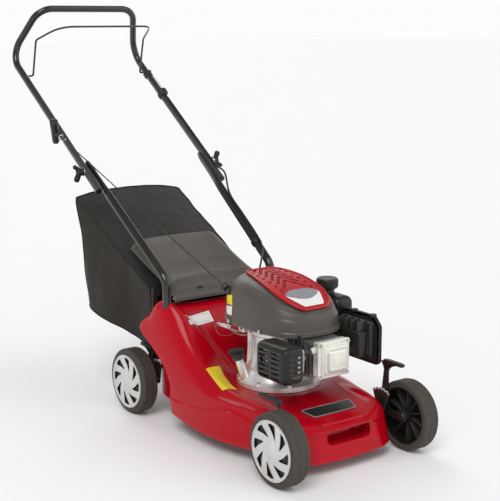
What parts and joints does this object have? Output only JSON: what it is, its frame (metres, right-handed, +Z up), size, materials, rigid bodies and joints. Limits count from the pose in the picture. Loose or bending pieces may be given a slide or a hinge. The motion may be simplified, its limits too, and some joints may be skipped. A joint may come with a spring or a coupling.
{
  "type": "push lawn mower",
  "caption": "Petrol push lawn mower with a moulded deck, vertical-shaft engine, folding tube handle, safety bail, recoil starter, height levers and a slide-off grass bag.",
  "frame": {"origin": "on the ground under the centre of the bounding box", "axes": "+X to the machine's left, +Y from the nose to the operator, +Z up"},
  "size_m": [0.489, 1.3086, 1.0209],
  "materials": {
    "red_polypropylene": "glossy moulded",
    "black_plastic": "satin",
    "grey_plastic": "satin",
    "black_painted_steel": "gloss black",
    "zinc_steel": "zinc plated",
    "cast_aluminium": "as cast",
    "silver_plastic": "silver paint",
    "tyre_rubber": "matte",
    "bag_fabric": "woven mesh",
    "filter_paper": "pleated paper",
    "ceramic": "glazed ceramic"
  },
  "bodies": {
    "chassis": {"deck": "red_polypropylene", "front_badge": "black_plastic", "front_right_quadrant": "zinc_steel", "front_left_quadrant": "zinc_steel", "rear_right_quadrant": "zinc_steel", "rear_left_quadrant": "zinc_steel", "engine_sump": "cast_aluminium", "cylinder_block": "cast_aluminium", "valve_cover": "cast_aluminium", "spark_plug": "ceramic", "muffler": "zinc_steel", "muffler_guard": "black_plastic", "fuel_tank": "black_plastic", "carburettor": "cast_aluminium", "air_filter_body": "black_plastic", "air_filter_element": "filter_paper", "engine_cowl": "grey_plastic", "cowl_grille": "red_polypropylene", "lower_handle_right": "black_painted_steel", "lower_handle_left": "black_painted_steel", "cable_clip": "black_plastic", "flap_hinge_rod": "zinc_steel", "starter_rope": "black_plastic", "brake_cable": "black_plastic"},
    "rotor": {"crankshaft": "zinc_steel", "flywheel": "cast_aluminium", "blade_boss": "zinc_steel", "blade": "zinc_steel", "blade_bolt": "zinc_steel"},
    "pulley": {"starter_pulley": "black_plastic"},
    "brake": {"brake_lever": "zinc_steel"},
    "fuel_cap": {"fuel_cap": "black_plastic"},
    "dipstick": {"dipstick": "black_plastic"},
    "filter_cover": {"air_filter_cover": "black_plastic"},
    "handle": {"upper_handle": "black_painted_steel", "cable_bracket": "black_plastic", "rope_guide": "zinc_steel"},
    "bail": {"bail": "black_painted_steel"},
    "knob_right": {"wing_knob_right": "black_plastic"},
    "knob_left": {"wing_knob_left": "black_plastic"},
    "pull_grip": {"starter_grip": "black_plastic"},
    "flap": {"rear_flap": "grey_plastic"},
    "bag": {"grass_bag": "bag_fabric", "bag_frame": "black_plastic"},
    "lever_front_right": {"front_right_height_lever": "black_painted_steel"},
    "wheel_front_right": {"front_right_tyre": "tyre_rubber", "front_right_rim": "black_plastic", "front_right_cap": "silver_plastic"},
    "lever_front_left": {"front_left_height_lever": "black_painted_steel"},
    "wheel_front_left": {"front_left_tyre": "tyre_rubber", "front_left_rim": "black_plastic", "front_left_cap": "silver_plastic"},
    "lever_rear_right": {"rear_right_height_lever": "black_painted_steel"},
    "wheel_rear_right": {"rear_right_tyre": "tyre_rubber", "rear_right_rim": "black_plastic", "rear_right_cap": "silver_plastic"},
    "lever_rear_left": {"rear_left_height_lever": "black_painted_steel"},
    "wheel_rear_left": {"rear_left_tyre": "tyre_rubber", "rear_left_rim": "black_plastic", "rear_left_cap": "silver_plastic"}
  },
  "joints": [
    {"name": "height_front_right", "type": "hinge", "parent": "chassis", "child": "lever_front_right", "pos_m": [-0.1595, -0.52177, 0.0925], "axis": [1, 0, 0], "range_deg": [-19, 19]},
    {"name": "height_front_left", "type": "hinge", "parent": "chassis", "child": "lever_front_left", "pos_m": [0.1595, -0.52177, 0.0925], "axis": [1, 0, 0], "range_deg": [-19, 19]},
    {"name": "height_rear_right", "type": "hinge", "parent": "chassis", "child": "lever_rear_right", "pos_m": [-0.1595, -0.01777, 0.0925], "axis": [1, 0, 0], "range_deg": [-19, 19]},
    {"name": "height_rear_left", "type": "hinge", "parent": "chassis", "child": "lever_rear_left", "pos_m": [0.1595, -0.01777, 0.0925], "axis": [1, 0, 0], "range_deg": [-19, 19]},
    {"name": "roll_front_right", "type": "hinge", "parent": "lever_front_right", "child": "wheel_front_right", "pos_m": [-0.1884, -0.57177, 0.0825], "axis": [1, 0, 0], "continuous": true},
    {"name": "roll_front_left", "type": "hinge", "parent": "lever_front_left", "child": "wheel_front_left", "pos_m": [0.1884, -0.57177, 0.0825], "axis": [1, 0, 0], "continuous": true},
    {"name": "roll_rear_right", "type": "hinge", "parent": "lever_rear_right", "child": "wheel_rear_right", "pos_m": [-0.1884, 0.03223, 0.0825], "axis": [1, 0, 0], "continuous": true},
    {"name": "roll_rear_left", "type": "hinge", "parent": "lever_rear_left", "child": "wheel_rear_left", "pos_m": [0.1884, 0.03223, 0.0825], "axis": [1, 0, 0], "continuous": true},
    {"name": "crank_spin", "type": "hinge", "parent": "chassis", "child": "rotor", "pos_m": [0, -0.32477, 0.2], "axis": [0, 0, 1], "continuous": true},
    {"name": "handle_fold", "type": "hinge", "parent": "chassis", "child": "handle", "pos_m": [0, 0.24823, 0.594], "axis": [1, 0, 0], "range_deg": [0, 140], "deforming": ["starter_rope", "brake_cable"]},
    {"name": "bail_squeeze", "type": "hinge", "parent": "handle", "child": "bail", "pos_m": [0, 0.58623, 0.827], "axis": [-1, 0, 0], "range_deg": [0, 35], "stiffness_Nm_per_rad": 0.5},
    {"name": "brake_swing", "type": "hinge", "parent": "chassis", "child": "brake", "pos_m": [0.045, -0.27177, 0.2735], "axis": [0, 0, 1], "range_deg": [0, 20]},
    {"name": "starter_pull", "type": "slide", "parent": "handle", "child": "pull_grip", "axis": [-0.1922, 0.8583, 0.4759], "range_m": [0, 0.35], "stiffness_N_per_m": 12},
    {"name": "pulley_spin", "type": "hinge", "parent": "chassis", "child": "pulley", "pos_m": [0, -0.32477, 0.33], "axis": [0, 0, 1], "range_deg": [0, 440]},
    {"name": "fuel_cap_turn", "type": "hinge", "parent": "chassis", "child": "fuel_cap", "pos_m": [0.14, -0.33377, 0.36], "axis": [0, 0, 1], "range_deg": [0, 100]},
    {"name": "dipstick_turn", "type": "hinge", "parent": "chassis", "child": "dipstick", "pos_m": [-0.103, -0.30477, 0.204], "axis": [-0.2878, 0.0883, 0.9536], "range_deg": [0, 180]},
    {"name": "filter_cover_open", "type": "hinge", "parent": "chassis", "child": "filter_cover", "pos_m": [0.1384, -0.46577, 0.1996], "axis": [0, 1, 0], "range_deg": [0, 50]},
    {"name": "knob_turn_right", "type": "hinge", "parent": "handle", "child": "knob_right", "pos_m": [-0.215, 0.24823, 0.594], "axis": [1, 0, 0], "range_deg": [0, 180]},
    {"name": "knob_turn_left", "type": "hinge", "parent": "handle", "child": "knob_left", "pos_m": [0.215, 0.24823, 0.594], "axis": [1, 0, 0], "range_deg": [0, 180]},
    {"name": "flap_open", "type": "hinge", "parent": "chassis", "child": "flap", "pos_m": [0, -0.08177, 0.309], "axis": [1, 0, 0], "range_deg": [0, 34], "stiffness_Nm_per_rad": 0.3},
    {"name": "bag_slide", "type": "slide", "parent": "chassis", "child": "bag", "axis": [0, 0.9798, 0.2], "range_m": [0, 0.35]}
  ],
  "couplings": [
    {"joint": "pulley_spin", "follows": "starter_pull", "rad_per_m": 21},
    {"joint": "brake_swing", "follows": "bail_squeeze", "ratio": 0.5}
  ]
}
